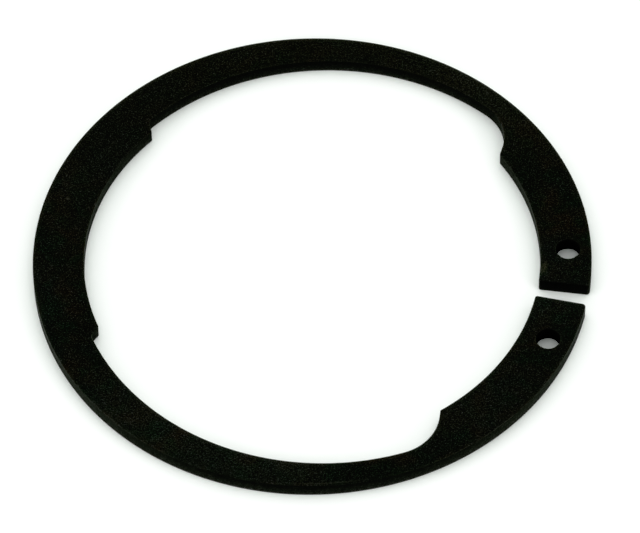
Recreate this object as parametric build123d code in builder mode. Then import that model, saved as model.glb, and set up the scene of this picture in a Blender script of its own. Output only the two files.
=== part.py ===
from build123d import *
import os
from math import radians, degrees, sin, cos, atan2, hypot, sqrt

# External circlip (retaining ring) for a shaft, of the inverted-lug form.
# One stamping of flat spring steel: a round outer edge, two lugs whose inner
# edges seat on the groove, a third seat pad opposite the gap, and a shallow
# eccentric recess on each side between them.
#
# Frame: the origin is on the axis of the outer edge, at the face the ring
# rests on. +Z is the ring's axis, and +X is the line of symmetry of the seat
# pads and the plier holes, pointing through the gap.

# ---- driving dimensions, millimetres and degrees ----
outer_radius = 34.0          # round outer edge
thickness = 2.0              # strip thickness
seat_radius = 27.77          # inner edge of the lugs and of the rear pad

gap_half_angle = 2.35        # the two lug ends are radial
gap_shift = 0.75             # the cut stands a little off the pads' own line
lug_outer_round = 0.44       # corner of a lug end on the outer edge
lug_inner_round = 0.29       # corner of a lug end on the seat

lug_end_angle = 45.09        # where a lug's seat stops, each way from +X
lug_wall_lean = 39.7         # lean of the wall behind it, from radial
lug_fillet = 6.15             # concave sweep from that wall into the recess

recess_radius = 30.50        # inner edge of the slim spring section
recess_centre_x = 1.62       # eccentricity: the section grows to the rear
recess_centre_y = 0.12       # small offset across, as the blank was punched

rear_pad_angle = 146.90      # where the rear pad starts, each way from +X
rear_wall_lean = 31.5        # lean of its short wall, from radial
rear_fillet = 0.76            # concave corner between that wall and the recess
pad_corner_round = 0.24      # sharp corner left at each end of a seat

hole_radius = 1.45            # plier holes
hole_pitch_radius = 31.16     # distance of each hole from the axis
hole_angle = 12.75           # each way from +X

die_roll = 0.25              # rounded edge of the upper face
burr_break = 0.08            # tumbled edge of the lower face


def polar(radius, angle):
    return (radius * cos(radians(angle)), radius * sin(radians(angle)))


def reach(start, angle, side):
    # Length of a line from start, along angle, to the recess circle.
    dx, dy = cos(radians(angle)), sin(radians(angle))
    wx, wy = start[0] - recess_centre_x, start[1] - side * recess_centre_y
    b = wx * dx + wy * dy
    c = wx * wx + wy * wy - recess_radius ** 2
    return -b + sqrt(b * b - c)


def recess_points(side):
    # The corners of one recess, worked out above +X and mirrored for side -1.
    front = polar(seat_radius, lug_end_angle)
    rear = polar(seat_radius, rear_pad_angle)
    a = lug_end_angle + lug_wall_lean
    b = rear_pad_angle - rear_wall_lean
    fl, rl = reach(front, a, side), reach(rear, b, side)
    front_out = (front[0] + fl * cos(radians(a)), front[1] + fl * sin(radians(a)))
    rear_out = (rear[0] + rl * cos(radians(b)), rear[1] + rl * sin(radians(b)))
    cy = side * recess_centre_y
    a0 = degrees(atan2(front_out[1] - cy, front_out[0] - recess_centre_x))
    a1 = degrees(atan2(rear_out[1] - cy, rear_out[0] - recess_centre_x))
    am = radians(0.5 * (a0 + a1))
    middle = (recess_centre_x + recess_radius * cos(am), cy + recess_radius * sin(am))
    inner_rear = polar(seat_radius - 4.0, rear_pad_angle)
    inner_front = polar(seat_radius - 4.0, lug_end_angle)
    pts = [front, front_out, middle, rear_out, rear, inner_rear, inner_front]
    return [(x, side * y) for x, y in pts]


with BuildPart() as retaining_ring:
    # Blank: outer disc less the seat circle.
    with BuildSketch(Plane.XY) as profile:
        Circle(outer_radius)
        Circle(seat_radius, mode=Mode.SUBTRACT)
        # The two recesses, each a wall, an eccentric arc and a second wall.
        for side in (1, -1):
            p = recess_points(side)
            with BuildLine():
                Line(p[0], p[1])
                ThreePointArc(p[1], p[2], p[3])
                Polyline(p[3], p[4], p[5], p[6], p[0])
            make_face(mode=Mode.SUBTRACT)
        # The gap between the lugs: a narrow wedge with radial sides.
        with BuildLine():
            Polyline(
                (0, 0),
                polar(outer_radius + 4, gap_shift - gap_half_angle),
                polar(outer_radius + 4, gap_shift + gap_half_angle),
                (0, 0),
            )
        make_face(mode=Mode.SUBTRACT)

        # Corners of the profile, each picked by where it lies.
        def near(target, tolerance=0.05):
            return [
                v for v in profile.vertices()
                if hypot(v.X - target[0], v.Y - target[1]) < tolerance
            ]

        for side in (1, -1):
            p = recess_points(side)
            fillet(near(p[1]), radius=lug_fillet)
            fillet(near(p[3]), radius=rear_fillet)
            fillet(near(p[0]), radius=pad_corner_round)
            fillet(near(p[4]), radius=pad_corner_round)
            end = gap_shift + side * gap_half_angle
            fillet(near(polar(outer_radius, end)), radius=lug_outer_round)
            fillet(near(polar(seat_radius, end)), radius=lug_inner_round)
        # Plier holes, one in each lug.
        with Locations(polar(hole_pitch_radius, hole_angle), polar(hole_pitch_radius, -hole_angle)):
            Circle(hole_radius, mode=Mode.SUBTRACT)
    extrude(amount=thickness)

    # Stamped edges: rolled over on the upper face, barely broken below.
    top_edges = retaining_ring.faces().sort_by(Axis.Z)[-1].edges()
    fillet(top_edges, radius=die_roll)
    bottom_edges = retaining_ring.faces().sort_by(Axis.Z)[0].edges()
    fillet(bottom_edges, radius=burr_break)

retaining_ring.part.label = "retaining_ring"

os.makedirs("parts", exist_ok=True)
export_step(retaining_ring.part, "parts/retaining_ring.step")

box = retaining_ring.part.bounding_box()
print("retaining_ring", round(box.size.X, 3), round(box.size.Y, 3), round(box.size.Z, 3),
      "volume", round(retaining_ring.part.volume, 2), "solids", len(retaining_ring.part.solids()),
      "faces", len(retaining_ring.part.faces()))
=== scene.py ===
import math

import bpy
import numpy as np
from mathutils import Matrix, Vector


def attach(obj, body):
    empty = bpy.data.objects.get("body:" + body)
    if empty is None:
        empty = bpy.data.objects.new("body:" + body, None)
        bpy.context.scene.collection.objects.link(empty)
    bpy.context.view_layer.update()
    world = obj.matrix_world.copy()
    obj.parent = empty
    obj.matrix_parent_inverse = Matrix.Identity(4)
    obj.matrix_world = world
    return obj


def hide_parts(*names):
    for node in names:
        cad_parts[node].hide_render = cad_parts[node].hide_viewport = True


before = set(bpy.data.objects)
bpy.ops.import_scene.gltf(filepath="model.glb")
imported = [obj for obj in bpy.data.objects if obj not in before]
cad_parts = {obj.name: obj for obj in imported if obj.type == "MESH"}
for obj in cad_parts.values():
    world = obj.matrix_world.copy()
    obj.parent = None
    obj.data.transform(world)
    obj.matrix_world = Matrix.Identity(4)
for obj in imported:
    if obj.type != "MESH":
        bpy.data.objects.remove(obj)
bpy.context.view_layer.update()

# ---------------------------------------------------------------------------
# The ring's own dimensions, millimetres and degrees (the CAD's values)
# ---------------------------------------------------------------------------
R_OUT = 34.0
T = 2.0
R_SEAT = 27.77
GAP_HALF, GAP_SHIFT = 2.35, 0.75
LUG_OUT_ROUND, LUG_IN_ROUND = 0.44, 0.29
LUG_END, LUG_LEAN, LUG_FILLET = 45.09, 39.7, 6.15
R_REC, REC_X, REC_Y = 30.50, 1.62, 0.12
REAR, REAR_LEAN, REAR_FILLET = 146.90, 31.5, 0.76
PAD_ROUND = 0.24
HOLE_R, HOLE_PITCH, HOLE_ANG = 1.45, 31.16, 12.75

rad = math.radians


def unit(a):
    return np.array([math.cos(a), math.sin(a)])


def centre_on(A, u, n, off, C, rho):
    """The point A + n*off + u*s, s as large as it can be, at distance rho from C."""
    w = A + n * off - C
    b, c = w @ u, w @ w - rho * rho
    return A + n * off + u * (-b + math.sqrt(max(b * b - c, 0.0)))


def arc(C, r, p, q, step=0.04):
    """Points on the circle (C, r) from p to q, the short way."""
    a0 = math.atan2(*(p - C)[::-1])
    a1 = math.atan2(*(q - C)[::-1])
    d = (a1 - a0 + math.pi) % (2 * math.pi) - math.pi
    n = max(4, int(abs(d) * r / step))
    a = a0 + d * np.linspace(0, 1, n + 1)
    return np.stack([C[0] + r * np.cos(a), C[1] + r * np.sin(a)], 1)


def arc_to(C, r, a0, a1, step=0.04):
    n = max(4, int(abs(a1 - a0) * r / step))
    a = np.linspace(a0, a1, n + 1)
    return np.stack([C[0] + r * np.cos(a), C[1] + r * np.sin(a)], 1)


def half(side):
    """Inner and outer edge of one half, from the lug's end round to the rear, drawn above +X."""
    O = np.zeros(2)
    end = rad(GAP_HALF + side * GAP_SHIFT)
    u = unit(end)
    n = np.array([-u[1], u[0]])                  # into the lug
    co = centre_on(O, u, n, LUG_OUT_ROUND, O, R_OUT - LUG_OUT_ROUND)
    ci = centre_on(O, u, n, LUG_IN_ROUND, O, R_SEAT + LUG_IN_ROUND)
    eo, ei = co - n * LUG_OUT_ROUND, ci - n * LUG_IN_ROUND
    to, ti = co / np.hypot(*co) * R_OUT, ci / np.hypot(*ci) * R_SEAT
    outer = [arc(co, LUG_OUT_ROUND, eo, to, 0.02), arc_to(O, R_OUT, math.atan2(to[1], to[0]), math.pi)]
    # wall behind the lug's seat, and the concave sweep into the recess
    C2 = np.array([REC_X, side * REC_Y])
    A, v = R_SEAT * unit(rad(LUG_END)), unit(rad(LUG_END + LUG_LEAN))
    free = np.array([-v[1], v[0]])
    cp = centre_on(A, v, -free, PAD_ROUND, O, R_SEAT + PAD_ROUND)
    p_s, p_w = cp / np.hypot(*cp) * R_SEAT, cp + free * PAD_ROUND
    cf = centre_on(A, v, free, LUG_FILLET, C2, R_REC - LUG_FILLET)
    f_w, f_r = cf - free * LUG_FILLET, C2 + (cf - C2) / np.hypot(*(cf - C2)) * R_REC
    # the rear pad's short wall
    B, w = R_SEAT * unit(rad(REAR)), unit(rad(REAR - REAR_LEAN))
    fr = np.array([w[1], -w[0]])
    cg = centre_on(B, w, fr, REAR_FILLET, C2, R_REC - REAR_FILLET)
    g_w, g_r = cg - fr * REAR_FILLET, C2 + (cg - C2) / np.hypot(*(cg - C2)) * R_REC
    cq = centre_on(B, w, -fr, PAD_ROUND, O, R_SEAT + PAD_ROUND)
    q_s, q_w = cq / np.hypot(*cq) * R_SEAT, cq + fr * PAD_ROUND
    inner = [
        arc(ci, LUG_IN_ROUND, ei, ti, 0.02),
        arc(O, R_SEAT, ti, p_s),
        arc(cp, PAD_ROUND, p_s, p_w, 0.02),
        np.linspace(p_w, f_w, 40),
        arc(cf, LUG_FILLET, f_w, f_r),
        arc(C2, R_REC, f_r, g_r),
        arc(cg, REAR_FILLET, g_r, g_w, 0.02),
        np.linspace(g_w, q_w, 16),
        arc(cq, PAD_ROUND, q_w, q_s, 0.02),
        arc_to(O, R_SEAT, math.atan2(q_s[1], q_s[0]), math.pi),
    ]

    def join(parts):
        out = [parts[0]]
        for p in parts[1:]:
            out.append(p[1:])
        return np.vstack(out)

    return join(outer), join(inner)


out_a, in_a = half(1)
out_b, in_b = half(-1)
flip = np.array([1.0, -1.0])
outer_line = np.vstack([out_a, (out_b * flip)[::-1][1:]])
inner_line = np.vstack([in_a, (in_b * flip)[::-1][1:]])


def polar(line):
    th = np.unwrap(np.arctan2(line[:, 1], line[:, 0]))
    return th, np.hypot(line[:, 0], line[:, 1])


to_, ro_ = polar(outer_line)
ti_, ri_ = polar(inner_line)
th0, th1 = rad(GAP_SHIFT + GAP_HALF), 2 * math.pi + rad(GAP_SHIFT - GAP_HALF)
boundary = np.vstack([outer_line, inner_line[::-1]])      # closed: outer edge, end, inner edge, end

# ---------------------------------------------------------------------------
# Smooth seeded variation, so that the stamped edge isn't machine perfect
# ---------------------------------------------------------------------------
rng = np.random.default_rng(71)


def wander(x, waves, amp):
    """A smooth random function of x with about `waves` waves per unit of x."""
    out = np.zeros_like(x)
    for k in range(1, 7):
        f = waves * k / 3.0
        out += rng.normal() * np.sin(x * f + rng.uniform(0, 6.283)) / k
    return amp * out / 1.6


# ---------------------------------------------------------------------------
# Columns round the ring: even, and close together at ends, walls and corners
# ---------------------------------------------------------------------------
ROLL = 0.88                                              # the most that an edge rolls over, across the face
steps_roll = ROLL * (1 - np.cos(np.linspace(0, math.pi / 2, 11)))


def size_at(th):
    base = 0.50
    d = np.degrees(th)
    s = np.full_like(d, base)
    for c, lo, hi, fine in (
        (45.05, 0.6, 1.0, 0.07), (48.5, 3.5, 4.5, 0.22), (146.2, 1.8, 1.3, 0.09),
        (314.95, 1.0, 0.6, 0.07), (311.5, 4.5, 3.5, 0.22), (213.8, 1.3, 1.8, 0.09),
    ):
        near = np.maximum(np.maximum(c - lo - d, d - c - hi), 0)
        s = np.minimum(s, fine + 0.22 * near)
    return np.radians(s)


fine_th = np.linspace(th0, th1, 200001)
dens = 1.0 / size_at(fine_th)
acc = np.concatenate([[0], np.cumsum(0.5 * (dens[1:] + dens[:-1]) * np.diff(fine_th))])
lead = steps_roll / R_OUT
inner0, inner1 = th0 + lead[-1] * 1.25, th1 - lead[-1] * 1.25
s0, s1 = np.interp([inner0, inner1], fine_th, acc)
n_mid = int(round(s1 - s0))
mid = np.interp(np.linspace(s0, s1, n_mid + 1), acc, fine_th)
cols = np.concatenate([th0 + lead[:-1] * 1.25, mid, (th1 - lead[:-1] * 1.25)[::-1]])
NC = len(cols)
r_out = np.interp(cols, to_, ro_)
r_in = np.interp(cols, ti_, ri_)
r_out[0], r_out[-1] = ro_[0], ro_[-1]
r_in[0], r_in[-1] = ri_[0], ri_[-1]

# Rows across the section: close together at both edges
N_MID = 11
NR = 2 * (len(steps_roll) - 1) + N_MID


def rows_for(width):
    e = steps_roll * min(1.0, width / (4 * ROLL))
    m = np.linspace(e[-1], width - e[-1], N_MID + 1)
    return np.concatenate([e, m[1:-1], (width - e)[::-1]])


grid = np.zeros((NC, NR + 1, 2))
for i in range(NC):
    r = r_in[i] + rows_for(r_out[i] - r_in[i])
    grid[i, :, 0] = r * math.cos(cols[i])
    grid[i, :, 1] = r * math.sin(cols[i])

# ---------------------------------------------------------------------------
# Flat layout of one face: the grid with a ring of quads round each plier hole
# ---------------------------------------------------------------------------
pts = [grid.reshape(-1, 2)]
count = NC * (NR + 1)


def gid(i, j):
    return i * (NR + 1) + j


J0, J1 = len(steps_roll) - 1, NR - len(steps_roll) + 1
removed = np.zeros((NC - 1, NR), bool)
quads = []
hole_loops = []
hole_centres = []
hole_steps = np.array([0.0, 0.012, 0.04, 0.08, 0.13, 0.20, 0.28, 0.36])
for sgn in (1, -1):
    ang = rad(sgn * HOLE_ANG) % (2 * math.pi)
    hc = HOLE_PITCH * unit(ang)
    hole_centres.append(hc)
    halfspan = 2.75 / HOLE_PITCH
    i0 = int(np.argmin(abs(cols - (ang - halfspan))))
    i1 = int(np.argmin(abs(cols - (ang + halfspan))))
    removed[i0:i1, J0:J1] = True
    loop = [gid(i, J0) for i in range(i0, i1)] + [gid(i1, j) for j in range(J0, J1)]
    loop += [gid(i, J1) for i in range(i1, i0, -1)] + [gid(i0, j) for j in range(J1, J0, -1)]
    flat = pts[0][loop]
    d = flat - hc
    dist = np.hypot(d[:, 0], d[:, 1])
    a = np.unwrap(np.arctan2(d[:, 1], d[:, 0]))
    even = a[0] + np.sign(a[-1] - a[0]) * 2 * math.pi * np.arange(len(a)) / len(a)
    n_out = 5
    rings = []
    for k, h in enumerate(hole_steps):
        mix = 0.55
        aa = even * mix + a * (1 - mix)
        rings.append(hc + (HOLE_R + h) * np.stack([np.cos(aa), np.sin(aa)], 1))
    base = rings[-1]
    for k in range(1, n_out + 1):
        f = k / (n_out + 1)
        g = f ** 1.1
        rings.append(base * (1 - g) + flat * g)
    ids = []
    for ring in rings:
        ids.append(np.arange(count, count + len(ring)))
        pts.append(ring)
        count += len(ring)
    ids.append(np.array(loop))
    L = len(loop)
    for k in range(len(ids) - 1):
        for m in range(L):
            n = (m + 1) % L
            quads.append((ids[k][m], ids[k][n], ids[k + 1][n], ids[k + 1][m]))
    hole_loops.append(ids[0])
for i in range(NC - 1):
    for j in range(NR):
        if not removed[i, j]:
            quads.append((gid(i, j), gid(i + 1, j), gid(i + 1, j + 1), gid(i, j + 1)))
P = np.vstack(pts)
quads = np.array(quads)
# every quad turns the same way, seen from above
q = P[quads]
area = 0.5 * ((q[:, 2, 0] - q[:, 0, 0]) * (q[:, 3, 1] - q[:, 1, 1]) - (q[:, 3, 0] - q[:, 1, 0]) * (q[:, 2, 1] - q[:, 0, 1]))
quads[area < 0] = quads[area < 0][:, ::-1]
used = np.unique(quads)
renum = -np.ones(len(P), int)
renum[used] = np.arange(len(used))
P = P[used]
quads = renum[quads]
rim = [gid(i, NR) for i in range(NC)] + [gid(NC - 1, j) for j in range(NR - 1, -1, -1)]
rim += [gid(i, 0) for i in range(NC - 2, -1, -1)] + [gid(0, j) for j in range(1, NR)]
rim = renum[rim]                                         # anticlockwise, material on the left
hole_loops = [renum[l] for l in hole_loops]

# ---------------------------------------------------------------------------
# Distance of every point from the ring's edge, and where along it the nearest point is
# ---------------------------------------------------------------------------
seg_a = boundary
seg_b = np.roll(boundary, -1, 0)
keep = np.hypot(*(seg_b - seg_a).T) > 1e-9
seg_a, seg_b = seg_a[keep], seg_b[keep]
along = np.concatenate([[0], np.cumsum(np.hypot(*(seg_b - seg_a).T))])[:-1]
perimeter = along[-1] + np.hypot(*(seg_b[-1] - seg_a[-1]))


def to_edge(points):
    dist = np.full(len(points), 1e9)
    where = np.zeros(len(points))
    th = np.arctan2(points[:, 1], points[:, 0])
    sth = np.arctan2(seg_a[:, 1], seg_a[:, 0])
    order = np.argsort(th)
    for chunk in np.array_split(order, 160):
        lo, hi = th[chunk].min() - 0.16, th[chunk].max() + 0.16
        sel = ((sth >= lo) & (sth <= hi)) | (sth >= lo + 2 * math.pi) | (sth <= hi - 2 * math.pi)
        A, B, S = seg_a[sel], seg_b[sel], along[sel]
        ab = B - A
        LL = (ab ** 2).sum(1)
        ap = points[chunk][:, None] - A[None]
        t = np.clip((ap * ab).sum(2) / LL, 0, 1)
        dd = ap - t[..., None] * ab
        d2 = (dd ** 2).sum(2)
        k = d2.argmin(1)
        r = np.arange(len(chunk))
        dist[chunk] = np.sqrt(d2[r, k])
        where[chunk] = S[k] + t[r, k] * np.sqrt(LL[k])
    return dist, where


d_edge, s_edge = to_edge(P)
d_edge[rim] = 0.0
hc = np.array(hole_centres)
d_hole = np.min(np.hypot(P[:, None, 0] - hc[None, :, 0], P[:, None, 1] - hc[None, :, 1]), 1) - HOLE_R
for l in hole_loops:
    d_hole[l] = 0.0

phase = s_edge / perimeter * 2 * math.pi
roll_w = 0.68 * (1 + 0.14 * wander(phase, 9, 1.0) + 0.05 * wander(phase, 60, 1.0))
roll_h = 0.108 * (1 + 0.12 * wander(phase, 7, 1.0) + 0.06 * wander(phase, 47, 1.0))
# one place at the front of the outer edge drew in further than the rest
turn = np.degrees(np.arctan2(P[:, 1], P[:, 0]))
drawn = np.exp(-((turn + 68.5) / 2.2) ** 2) * (np.hypot(P[:, 0], P[:, 1]) > 32.5)
roll_h = roll_h + 0.07 * drawn * (1 + 0.5 * np.sin((turn + 68.5) * 2.1))
roll_w = np.clip(roll_w, 0.50, 0.86)
roll_h = np.clip(roll_h, 0.08, 0.22)


def rolled(d, w, h):
    """Depth of the edge that the die drew in: a long shallow curve with a small rounded corner."""
    x = np.clip(1 - d / w, 0, 1)
    return h * x ** 2.2 + quarter(d, 0.13, 0.055)


def quarter(d, w, h):
    """Depth of an elliptical rolled edge of width w and height h at distance d from the wall."""
    x = np.clip(1 - d / w, 0, 1)
    return h * (1 - np.sqrt(np.clip(1 - x * x, 0, 1)))


BREAK = 0.09
HROLL_W, HROLL_H = 0.34, 0.09
z_top = T - rolled(d_edge, roll_w, roll_h) - rolled(d_hole, HROLL_W, HROLL_H)
z_bot = quarter(d_edge, BREAK, BREAK) + quarter(d_hole, BREAK, BREAK)
# a strip that was levelled and tumbled is flat to a few microns, not perfectly
sway = 0.0
for _ in range(5):
    a = rng.uniform(0, 6.283)
    f = rng.uniform(0.10, 0.30)
    sway = sway + rng.normal() * np.sin(f * (P[:, 0] * math.cos(a) + P[:, 1] * math.sin(a)) + rng.uniform(0, 6.283))
z_top = z_top - 0.004 * (1 + np.tanh(sway / 2)) / 2

NP_ = len(P)
verts = [np.column_stack([P, z_top]), np.column_stack([P, z_bot])]
faces = [quads, quads[:, ::-1] + NP_]
total = 2 * NP_
# walls: burnished above, torn and a little slacker below
wall_t = np.array([0.07, 0.16, 0.28, 0.40, 0.52, 0.66, 0.80, 0.90, 0.96])


def wall(loop, hole):
    global total
    loop = np.asarray(loop)
    ring = P[loop]
    tan = np.roll(ring, -1, 0) - np.roll(ring, 1, 0)
    tan /= np.linalg.norm(tan, axis=1)[:, None]
    nrm = np.stack([tan[:, 1], -tan[:, 0]], 1)           # out of the metal for an anticlockwise rim
    zt, zb = z_top[loop], z_bot[loop]
    ids = [loop]
    length = np.concatenate([[0], np.cumsum(np.linalg.norm(np.diff(ring, axis=0), axis=1))])
    ph = length / (length[-1] + 1e-9) * 2 * math.pi
    line = 0.50 + 0.05 * wander(ph, 8, 1.0)
    for t in wall_t:
        z = zt * (1 - t) + zb * t
        slack = np.clip((t - line) / 0.25, 0, 1) * 0.012 * (1 - t) * 4
        p = ring - nrm * slack[:, None]
        verts.append(np.column_stack([p, z]))
        ids.append(np.arange(total, total + len(loop)))
        total += len(loop)
    ids.append(loop + NP_)
    L = len(loop)
    f = []
    idx = np.arange(L)
    nxt = (idx + 1) % L
    for k in range(len(ids) - 1):
        f.append(np.stack([ids[k][idx], ids[k + 1][idx], ids[k + 1][nxt], ids[k][nxt]], 1))
    faces.append(np.vstack(f))


wall(rim, False)
for l in hole_loops:
    ring = P[l]
    turn = 0.5 * np.sum(ring[:, 0] * np.roll(ring[:, 1], -1) - np.roll(ring[:, 0], -1) * ring[:, 1])
    wall(l if turn < 0 else l[::-1], True)               # clockwise, so that the metal is on the left

V = np.vstack(verts) / 1000.0
V[:, :2] *= 0.99985                                      # 5 microns inside the solid's box
Fc = np.vstack(faces)

mesh = bpy.data.meshes.new("retaining_ring_steel")
mesh.vertices.add(len(V))
mesh.vertices.foreach_set("co", V.astype(np.float32).ravel())
mesh.loops.add(Fc.size)
mesh.loops.foreach_set("vertex_index", Fc.astype(np.int32).ravel())
mesh.polygons.add(len(Fc))
mesh.polygons.foreach_set("loop_start", (np.arange(len(Fc)) * 4).astype(np.int32))
mesh.polygons.foreach_set("loop_total", np.full(len(Fc), 4, np.int32))
mesh.polygons.foreach_set("use_smooth", np.ones(len(Fc), bool))
mesh.update(calc_edges=True)
mesh.validate()

# how near each vertex is to the rolled edge, for wear and for a painted highlight line along the roll; the walls all
# get 1
n_wall = len(V) - 2 * NP_
near = np.exp(-np.minimum(d_edge, d_hole * 1.6) / 0.32)
edge_attr = np.concatenate([near, near, np.ones(n_wall)])
att = mesh.attributes.new("edge_near", "FLOAT", "POINT")
att.data.foreach_set("value", edge_attr.astype(np.float32))

ring = bpy.data.objects.new("retaining_ring_steel", mesh)
bpy.context.scene.collection.objects.link(ring)
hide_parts("retaining_ring")
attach(ring, "root")


# ---------------------------------------------------------------------------
# Material: black phosphated spring steel, oiled, a little rubbed at the edges, with a painted highlight along the
# front edge and painted floor glow low on the walls
# ---------------------------------------------------------------------------
class Nodes:
    def __init__(self, tree):
        self.t = tree

    def add(self, kind, **props):
        n = self.t.nodes.new(kind)
        for k, v in props.items():
            setattr(n, k, v)
        return n

    def link(self, a, b):
        self.t.links.new(a, b)

    def noise(self, vec, scale, detail=3.0, rough=0.55, distort=0.0):
        n = self.add("ShaderNodeTexNoise")
        n.inputs["Scale"].default_value = scale
        n.inputs["Detail"].default_value = detail
        n.inputs["Roughness"].default_value = rough
        n.inputs["Distortion"].default_value = distort
        self.link(vec, n.inputs["Vector"])
        return n.outputs["Fac"]

    def remap(self, x, a, b, c, d):
        n = self.add("ShaderNodeMapRange")
        n.inputs["From Min"].default_value = a
        n.inputs["From Max"].default_value = b
        n.inputs["To Min"].default_value = c
        n.inputs["To Max"].default_value = d
        self.link(x, n.inputs["Value"])
        return n.outputs["Result"]

    def spot(self, vec, centre, size):
        """1 at centre, falling to 0 at the edge of a soft ellipsoid."""
        off = self.add("ShaderNodeVectorMath", operation="SUBTRACT")
        off.inputs[1].default_value = centre
        self.link(vec, off.inputs[0])
        rel = self.add("ShaderNodeVectorMath", operation="DIVIDE")
        rel.inputs[1].default_value = size
        self.link(off.outputs[0], rel.inputs[0])
        far = self.add("ShaderNodeVectorMath", operation="LENGTH")
        self.link(rel.outputs[0], far.inputs[0])
        return self.remap(far.outputs["Value"], 0.25, 1.0, 1.0, 0.0)

    def math(self, op, a, b=None):
        n = self.add("ShaderNodeMath", operation=op)
        for k, v in enumerate((a, b)):
            if v is None:
                continue
            if isinstance(v, (int, float)):
                n.inputs[k].default_value = v
            else:
                self.link(v, n.inputs[k])
        return n.outputs[0]

    def mix(self, fac, a, b):
        n = self.add("ShaderNodeMix", data_type="RGBA")
        for name, v in (("Factor", fac), ("A", a), ("B", b)):
            sock = [s for s in n.inputs if s.name == name and s.type == ("VALUE" if name == "Factor" else "RGBA")][0]
            if isinstance(v, (int, float)):
                sock.default_value = v
            elif isinstance(v, tuple):
                sock.default_value = v
            else:
                self.link(v, sock)
        return [s for s in n.outputs if s.type == "RGBA"][0]


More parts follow.
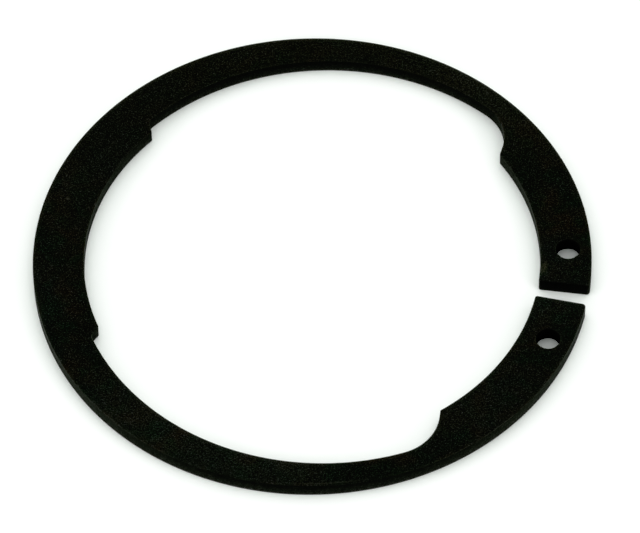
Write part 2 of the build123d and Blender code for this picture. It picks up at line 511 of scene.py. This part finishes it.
def steel(name, wall):
    """The phosphated surface of the rolled faces, or of the sheared walls."""
    mat = bpy.data.materials.new(name)
    mat.use_nodes = True
    nt = mat.node_tree
    nt.nodes.clear()
    N = Nodes(nt)
    out = N.add("ShaderNodeOutputMaterial")
    bsdf = N.add("ShaderNodeBsdfPrincipled")
    N.link(bsdf.outputs[0], out.inputs[0])
    coord = N.add("ShaderNodeTexCoord").outputs["Object"]
    sep = N.add("ShaderNodeSeparateXYZ")
    N.link(coord, sep.inputs[0])
    edge = N.add("ShaderNodeAttribute", attribute_name="edge_near", attribute_type="GEOMETRY").outputs["Fac"]

    drift = N.noise(coord, 21.0, 0.0, 0.5, 0.0)              # browner towards one side, greener towards the other
    broad = N.noise(coord, 62.0, 1.0, 0.5, 0.0)              # 16 mm: the coat is a little uneven
    cloud = N.noise(coord, 230.0, 1.0, 0.5, 0.5)             # 4 mm clouds in the phosphate
    tint = N.noise(coord, 420.0, 1.0, 0.5, 0.3)
    grain = N.noise(coord, 5600.0, 3.0, 0.65)                # crystals, a fifth of a millimetre
    pits = N.noise(coord, 4700.0, 3.0, 0.65, 0.3)            # bare, darker pits between them
    fine = N.noise(coord, 14000.0, 2.0, 0.6)

    dark = (0.0170, 0.0198, 0.0140, 1.0)
    warm = (0.0262, 0.0217, 0.0144, 1.0)
    green = (0.0134, 0.0252, 0.0146, 1.0)
    c = N.mix(N.remap(cloud, 0.38, 0.66, 0.0, 1.0), dark, warm)
    c = N.mix(N.remap(tint, 0.45, 0.70, 0.0, 0.6), c, green)
    lean = N.remap(sep.outputs["Y"], -0.030, 0.034, -0.30, 0.30)
    c = N.mix(N.remap(N.math("ADD", drift, lean), 0.30, 0.80, 0.0, 0.80), c, (0.0234, 0.0229, 0.0150, 1.0))
    c = N.mix(N.remap(broad, 0.35, 0.68, 0.0, 0.45), c, (0.0276, 0.0294, 0.0264, 1.0))
    # where it hung in the bath: the coat is greyer at two places, and denser at one
    for centre, size, amount, tone in (
        ((-0.0104, -0.0303, 0.002), (0.0210, 0.0120, 0.02), 0.30, (0.0400, 0.0412, 0.0375, 1.0)),
        ((0.0153, 0.0281, 0.002), (0.0150, 0.0110, 0.02), 0.22, (0.0400, 0.0412, 0.0375, 1.0)),
        ((-0.0275, 0.0160, 0.002), (0.0120, 0.0160, 0.02), 0.17, (0.0120, 0.0130, 0.0090, 1.0)),
    ):
        c = N.mix(N.math("MULTIPLY", N.spot(coord, centre, size), amount), c, tone)
    c = N.mix(N.remap(grain, 0.46, 0.80, 0.0, 0.90), c, (0.0685, 0.0685, 0.0735, 1.0))
    c = N.mix(N.remap(pits, 0.52, 0.70, 0.0, 0.85), c, (0.0086, 0.0104, 0.0055, 1.0))
    if wall:
        # sheared walls: smooth and dark above, torn and duller below; lighter towards the bottom, partly the torn
        # zone's own tone and partly painted light from the bright floor
        low = N.remap(sep.outputs["Z"], 0.0001, 0.0015, 1.0, 0.0)
        # mask for the painted glow of the bright floor along the wall's foot
        painted_floor_glow = N.remap(sep.outputs["Z"], 0.0, 0.00048, 1.0, 0.0)
        stretch = N.add("ShaderNodeVectorMath", operation="MULTIPLY")
        stretch.inputs[1].default_value = (1.0, 1.0, 0.16)
        N.link(coord, stretch.inputs[0])
        streak = N.noise(stretch.outputs[0], 5200.0, 3.0, 0.6)
        c = N.mix(N.remap(streak, 0.40, 0.75, 0.0, 0.5), (0.0158, 0.0172, 0.0137, 1.0), (0.0252, 0.0265, 0.0223, 1.0))
        # lower wall lighter: partly the torn zone's own tone, partly painted bounce light from the floor
        c = N.mix(N.math("MULTIPLY", low, N.remap(grain, 0.30, 0.70, 0.5, 1.0)), c, (0.0450, 0.0464, 0.0425, 1.0))
        # painted glow of the bright floor along the foot of the wall
        c = N.mix(N.math("MULTIPLY", N.math("POWER", painted_floor_glow, 1.4), N.remap(grain, 0.25, 0.70, 0.25, 0.85)), c, (0.104, 0.104, 0.102, 1.0))
        torn = N.remap(sep.outputs["Z"], 0.0005, 0.0016, 1.0, 0.40)
        c = N.mix(N.math("MULTIPLY", torn, N.remap(grain, 0.48, 0.80, 0.0, 0.75)), c, (0.0760, 0.0765, 0.0780, 1.0))
        c = N.mix(N.remap(pits, 0.52, 0.70, 0.0, 0.60), c, (0.0086, 0.0104, 0.0060, 1.0))
        height = N.math("ADD", N.math("MULTIPLY", streak, 0.75), N.math("MULTIPLY", grain, 0.5))
        rough = N.remap(N.math("ADD", low, N.math("MULTIPLY", grain, 0.5)), 0.1, 1.2, 0.50, 0.75)
        bsdf.inputs["Specular IOR Level"].default_value = 0.14
    else:
        # rubbed a little where the edge rolls over, and a painted highlight line along the roll at the front
        wear_and_highlight = N.math("MULTIPLY", N.remap(edge, 0.22, 1.0, 0.0, 1.0), N.remap(N.noise(coord, 900.0, 4.0, 0.7), 0.38, 0.74, 0.05, 0.45))
        painted_front_highlight = N.spot(coord, (0.00880, -0.03254, 0.0020), (0.0062, 0.0024, 0.004))   # painted highlight, strongest at the front of the outer edge
        # band partway into the roll where the painted highlight line lies
        line = N.math("MULTIPLY", N.remap(edge, 0.20, 0.42, 0.0, 1.0), N.remap(edge, 0.42, 0.75, 1.0, 0.0))
        wear_and_highlight = N.math("MAXIMUM", wear_and_highlight, N.math("MULTIPLY", line, N.math("MULTIPLY", painted_front_highlight, 0.50)))
        # lighter colour: real wear at the edges, plus the painted highlight at the front
        c = N.mix(wear_and_highlight, c, (0.052, 0.051, 0.048, 1.0))
        # a pale smudge by the upper lug's inner corner, and one bright speck at the rear
        c = N.mix(N.math("MULTIPLY", N.spot(coord, (0.02805, 0.00345, 0.0020), (0.00055, 0.00120, 0.004)), N.remap(grain, 0.30, 0.65, 0.1, 0.9)), c, (0.056, 0.053, 0.044, 1.0))
        c = N.mix(N.spot(coord, (-0.03116, 0.00299, 0.0020), (0.00030, 0.00027, 0.004)), c, (0.047, 0.046, 0.042, 1.0))
        height = N.math("ADD", N.math("MULTIPLY", grain, 0.7), N.math("MULTIPLY", fine, 0.3))
        rough = N.remap(N.math("ADD", N.math("MULTIPLY", grain, 0.6), N.math("MULTIPLY", cloud, 0.4)), 0.3, 0.7, 0.36, 0.52)
        bsdf.inputs["Specular IOR Level"].default_value = 0.14
    N.link(c, bsdf.inputs["Base Color"])
    bsdf.inputs["Metallic"].default_value = 0.0
    N.link(rough, bsdf.inputs["Roughness"])
    bump = N.add("ShaderNodeBump")
    bump.inputs["Strength"].default_value = 0.5 if wall else 0.35
    bump.inputs["Distance"].default_value = 0.00006
    N.link(height, bump.inputs["Height"])
    N.link(bump.outputs[0], bsdf.inputs["Normal"])
    return mat


mesh.materials.append(steel("black_phosphate_face", False))
mesh.materials.append(steel("black_phosphate_sheared", True))
which = np.zeros(len(Fc), np.int32)
which[2 * len(quads):] = 1
mesh.polygons.foreach_set("material_index", which)

# ---------------------------------------------------------------------------
# Stage: a plain pale floor, soft light
# ---------------------------------------------------------------------------
scene = bpy.context.scene
floor_mesh = bpy.data.meshes.new("floor")
s = 1.6
floor_mesh.from_pydata([(-s, -s, 0), (s, -s, 0), (s, s, 0), (-s, s, 0)], [], [(0, 1, 2, 3)])
floor = bpy.data.objects.new("floor", floor_mesh)
floor.location = (0, 0, -0.00002)
scene.collection.objects.link(floor)
fm = bpy.data.materials.new("pale_floor")
fm.use_nodes = True
fb = fm.node_tree.nodes["Principled BSDF"]
fb.inputs["Base Color"].default_value = (0.86, 0.872, 0.862, 1)
fb.inputs["Roughness"].default_value = 0.9
fb.inputs["Specular IOR Level"].default_value = 0.1
floor_mesh.materials.append(fm)

# light tent: bright low down and overhead, a little darker between
world = bpy.data.worlds.new("studio")
world.use_nodes = True
wt = world.node_tree
W = Nodes(wt)
bg = wt.nodes["Background"]
wc = W.add("ShaderNodeTexCoord").outputs["Generated"]
ws = W.add("ShaderNodeSeparateXYZ")
W.link(wc, ws.inputs[0])
ramp = W.add("ShaderNodeValToRGB")
ramp.color_ramp.interpolation = "EASE"
el = ramp.color_ramp.elements
el[0].position, el[0].color = 0.30, (1.72, 1.765, 1.72, 1)
el[1].position, el[1].color = 0.98, (1.70, 1.735, 1.70, 1)
m1 = el.new(0.68)
m1.color = (0.95, 0.98, 0.96, 1)
m2 = el.new(0.86)
m2.color = (0.95, 0.98, 0.96, 1)
W.link(ws.outputs["Z"], ramp.inputs[0])
W.link(ramp.outputs[0], bg.inputs[0])
# the tent's rear wall is the brighter one
rear = W.add("ShaderNodeVectorMath", operation="DOT_PRODUCT")
rear.inputs[1].default_value = (-0.218, 0.976, 0.0)
W.link(wc, rear.inputs[0])
W.link(W.remap(rear.outputs["Value"], -1.0, 1.0, 0.58, 1.28), bg.inputs[1])
scene.world = world


def area(name, loc, target, size, power, colour=(1, 1, 1)):
    d = bpy.data.lights.new(name, "AREA")
    d.shape = "RECTANGLE"
    d.size, d.size_y = size
    d.energy = power
    d.color = colour
    o = bpy.data.objects.new(name, d)
    o.location = loc
    o.rotation_euler = (Vector(target) - Vector(loc)).to_track_quat("-Z", "Y").to_euler()
    scene.collection.objects.link(o)
    return o


area("left", (-0.64, -0.40, 0.20), (0, 0, 0), (0.50, 0.30), 3.0)
area("right", (0.67, -0.34, 0.20), (0, 0, 0), (0.50, 0.30), 3.3)

# ---------------------------------------------------------------------------
# Camera
# ---------------------------------------------------------------------------
cam_data = bpy.data.cameras.new("camera")
cam_data.sensor_fit = "HORIZONTAL"
cam_data.sensor_width = 36.0
cam_data.lens = 359.49
cam_data.clip_start, cam_data.clip_end = 0.01, 20.0
cam = bpy.data.objects.new("camera", cam_data)
right = (0.98029857, 0.19695843, -0.01490267)
up = (-0.14917996, 0.78772045, 0.5976971)
back = (0.12946062, -0.58369844, 0.80158348)
loc = (0.10178422, -0.45460764, 0.62434148)
cam.matrix_world = Matrix((
    (right[0], up[0], back[0], loc[0]),
    (right[1], up[1], back[1], loc[1]),
    (right[2], up[2], back[2], loc[2]),
    (0, 0, 0, 1),
))
scene.collection.objects.link(cam)
scene.camera = cam

scene.view_settings.view_transform = "Standard"
scene.view_settings.look = "None"
scene.view_settings.exposure = 0.0
scene.view_settings.gamma = 1.0
# a product photograph's contrast: a toe that sets the darks well down, and full whites
scene.view_settings.use_curve_mapping = True
cm = scene.view_settings.curve_mapping
tone = cm.curves[3]
tone.points[0].location = (0.0, 0.0)
tone.points[1].location = (1.0, 1.0)
for x, y in (
    (0.030, 0.0007), (0.045, 0.0015), (0.055, 0.0026), (0.064, 0.0055), (0.085, 0.0200),
    (0.15, 0.078), (0.30, 0.215), (0.50, 0.405), (0.70, 0.63), (0.90, 0.90),
):
    tone.points.new(x, y)
cm.update()

print("triangles", 2 * len(Fc))
